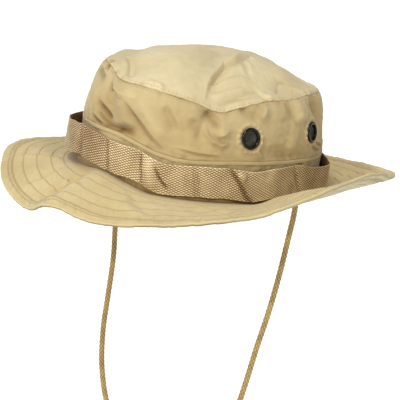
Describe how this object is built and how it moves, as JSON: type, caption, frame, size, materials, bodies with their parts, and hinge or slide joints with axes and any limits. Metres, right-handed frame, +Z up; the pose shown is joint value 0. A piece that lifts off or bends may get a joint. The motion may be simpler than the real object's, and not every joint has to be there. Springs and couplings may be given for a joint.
{
  "type": "jungle hat",
  "caption": "Wide-brimmed cloth field hat with a soft crown, stitched brim, webbing band in loops, screened vent eyelets and a hanging chin cord.",
  "frame": {"origin": "centre of the head opening, at the level of the seam between crown and brim", "axes": "+Z up out of the crown, -Y the front of the hat, +X the wearer's left"},
  "size_m": [0.2799, 0.3268, 0.3393],
  "materials": {
    "khaki_cloth": "matt twill cotton cloth",
    "webbing": "coarse plain-woven nylon webbing",
    "eyelet_metal": "gloss black enamel",
    "eyelet_screen": "dark woven wire mesh",
    "braid_cord": "braided cotton cord"
  },
  "bodies": {
    "root": {"crown_top": "khaki_cloth", "crown_side": "khaki_cloth", "crown_band": "khaki_cloth", "brim": "khaki_cloth", "webbing_band": "webbing", "vent_eyelet_1": "eyelet_metal", "vent_eyelet_2": "eyelet_metal", "vent_eyelet_3": "eyelet_metal", "vent_eyelet_4": "eyelet_metal", "vent_screen_1": "eyelet_screen", "vent_screen_2": "eyelet_screen", "vent_screen_3": "eyelet_screen", "vent_screen_4": "eyelet_screen", "chin_cord": "braid_cord"}
  },
  "joints": []
}
